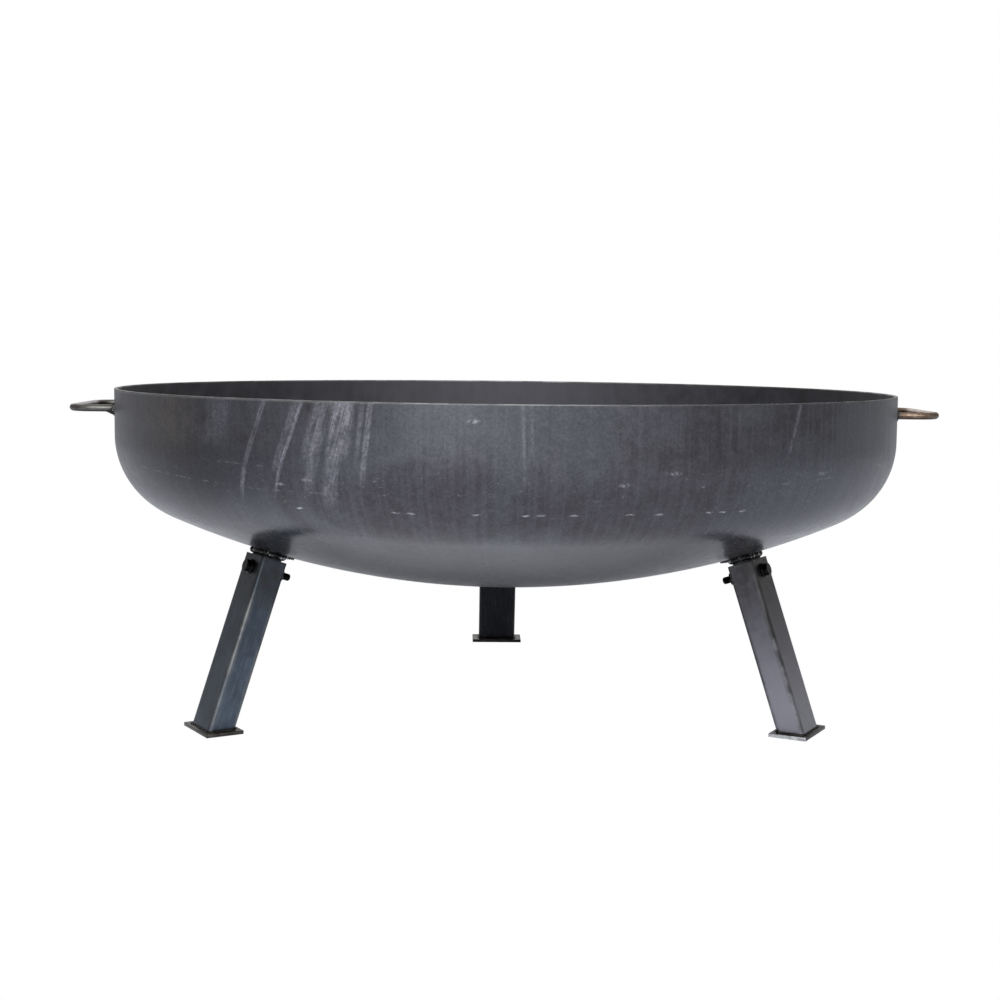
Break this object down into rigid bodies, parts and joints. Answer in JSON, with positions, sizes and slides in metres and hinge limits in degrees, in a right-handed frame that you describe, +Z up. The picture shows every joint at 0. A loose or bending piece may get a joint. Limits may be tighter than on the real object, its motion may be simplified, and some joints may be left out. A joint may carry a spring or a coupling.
{
  "type": "fire pit",
  "caption": "Round dished steel fire bowl with side handles, three bolt-on leaning legs and a lift-out bar grate.",
  "frame": {"origin": "on the bowl's axis at ground level", "axes": "+Z up, the two handles along X, one leg at +Y, the open side between the two front legs towards -Y"},
  "size_m": [0.9976, 0.9, 0.366],
  "materials": {
    "mill_scale_steel": "raw hot-rolled steel with blue-grey mill scale, rubbed and stained in places",
    "handle_steel": "bright round bar with straw and bronze heat tint near the welds",
    "leg_steel": "raw steel tube and plate with mill scale and bright rubbed corners",
    "stub_steel": "raw steel darkened by the weld's heat",
    "black_oxide": "black oxide on zinc-free fasteners, lightly oiled",
    "grate_steel": "raw steel bar with dull mill scale"
  },
  "bodies": {
    "root": {"bowl": "mill_scale_steel", "handle_left": "handle_steel", "handle_right": "handle_steel", "leg_tube_back": "leg_steel", "leg_stub_back": "stub_steel", "foot_plate_back": "leg_steel", "nut_washer_back": "black_oxide", "leg_nut_back": "black_oxide", "leg_tube_left": "leg_steel", "leg_stub_left": "stub_steel", "foot_plate_left": "leg_steel", "nut_washer_left": "black_oxide", "leg_nut_left": "black_oxide", "leg_tube_right": "leg_steel", "leg_stub_right": "stub_steel", "foot_plate_right": "leg_steel", "nut_washer_right": "black_oxide", "leg_nut_right": "black_oxide"},
    "grate": {"grate_ring": "grate_steel", "grate_bar_01": "grate_steel", "grate_bar_02": "grate_steel", "grate_bar_03": "grate_steel", "grate_bar_04": "grate_steel", "grate_bar_05": "grate_steel", "grate_bar_06": "grate_steel", "grate_bar_07": "grate_steel", "grate_bar_08": "grate_steel", "grate_bar_09": "grate_steel", "grate_bar_10": "grate_steel", "grate_bar_11": "grate_steel", "grate_bar_12": "grate_steel", "grate_bar_13": "grate_steel", "grate_cross_bar_front": "grate_steel", "grate_cross_bar_back": "grate_steel", "grate_foot_1": "grate_steel", "grate_foot_2": "grate_steel", "grate_foot_3": "grate_steel"},
    "washer_back": {"head_washer_back": "black_oxide"},
    "bolt_back": {"leg_bolt_back": "black_oxide"},
    "washer_left": {"head_washer_left": "black_oxide"},
    "bolt_left": {"leg_bolt_left": "black_oxide"},
    "washer_right": {"head_washer_right": "black_oxide"},
    "bolt_right": {"leg_bolt_right": "black_oxide"}
  },
  "joints": [
    {"name": "grate_lift", "type": "slide", "parent": "root", "child": "grate", "axis": [0, 0, 1], "range_m": [0, 0.25]},
    {"name": "bolt_travel_back", "type": "slide", "parent": "root", "child": "washer_back", "axis": [0, 0.9447, 0.328], "range_m": [0, 0.01562]},
    {"name": "bolt_turn_back", "type": "hinge", "parent": "washer_back", "child": "bolt_back", "pos_m": [0, 0.30894, 0.1712], "axis": [0, 0.9447, 0.328], "range_deg": [0, 4501]},
    {"name": "bolt_travel_left", "type": "slide", "parent": "root", "child": "washer_left", "axis": [-0.8181, -0.4723, 0.328], "range_m": [0, 0.01562]},
    {"name": "bolt_turn_left", "type": "hinge", "parent": "washer_left", "child": "bolt_left", "pos_m": [-0.26755, -0.15447, 0.1712], "axis": [-0.8181, -0.4723, 0.328], "range_deg": [0, 4501]},
    {"name": "bolt_travel_right", "type": "slide", "parent": "root", "child": "washer_right", "axis": [0.8181, -0.4723, 0.328], "range_m": [0, 0.01562]},
    {"name": "bolt_turn_right", "type": "hinge", "parent": "washer_right", "child": "bolt_right", "pos_m": [0.26755, -0.15447, 0.1712], "axis": [0.8181, -0.4723, 0.328], "range_deg": [0, 4501]}
  ],
  "couplings": [
    {"joint": "bolt_turn_back", "follows": "bolt_travel_back", "rad_per_m": 5026.5},
    {"joint": "bolt_turn_left", "follows": "bolt_travel_left", "rad_per_m": 5026.5},
    {"joint": "bolt_turn_right", "follows": "bolt_travel_right", "rad_per_m": 5026.5}
  ]
}
